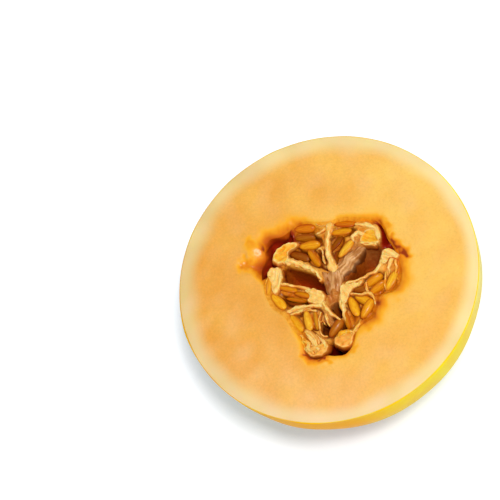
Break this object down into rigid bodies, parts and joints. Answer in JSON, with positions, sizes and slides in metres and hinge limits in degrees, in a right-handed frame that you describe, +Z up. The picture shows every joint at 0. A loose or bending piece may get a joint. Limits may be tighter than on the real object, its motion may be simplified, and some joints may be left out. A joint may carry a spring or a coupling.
{
  "type": "honeydew melon half",
  "caption": "Half a honeydew melon, cut across and resting on a small flat spot, with an open seed cavity holding stringy pulp and seeds.",
  "frame": {"origin": "centre of the small flat spot at the blossom end, which the half rests on", "axes": "+Z up along the fruit's length, square to the cut face; +Y towards the flat side of the three-cornered seed cavity"},
  "size_m": [0.1672, 0.1608, 0.105],
  "materials": {
    "flesh": "satin",
    "pulp": "gloss",
    "seed": "satin"
  },
  "bodies": {
    "root": {"rind_and_flesh": "flesh", "seed_pulp": "pulp", "seed_01": "seed", "seed_02": "seed", "seed_03": "seed", "seed_04": "seed", "seed_05": "seed", "seed_06": "seed", "seed_07": "seed", "seed_08": "seed", "seed_09": "seed", "seed_10": "seed", "seed_11": "seed", "seed_12": "seed", "seed_13": "seed", "seed_14": "seed", "seed_15": "seed", "seed_16": "seed", "seed_17": "seed", "seed_18": "seed", "seed_19": "seed", "seed_20": "seed", "seed_21": "seed", "seed_22": "seed", "seed_23": "seed", "seed_24": "seed", "seed_25": "seed", "seed_26": "seed", "seed_27": "seed", "seed_28": "seed", "seed_29": "seed"}
  },
  "joints": []
}
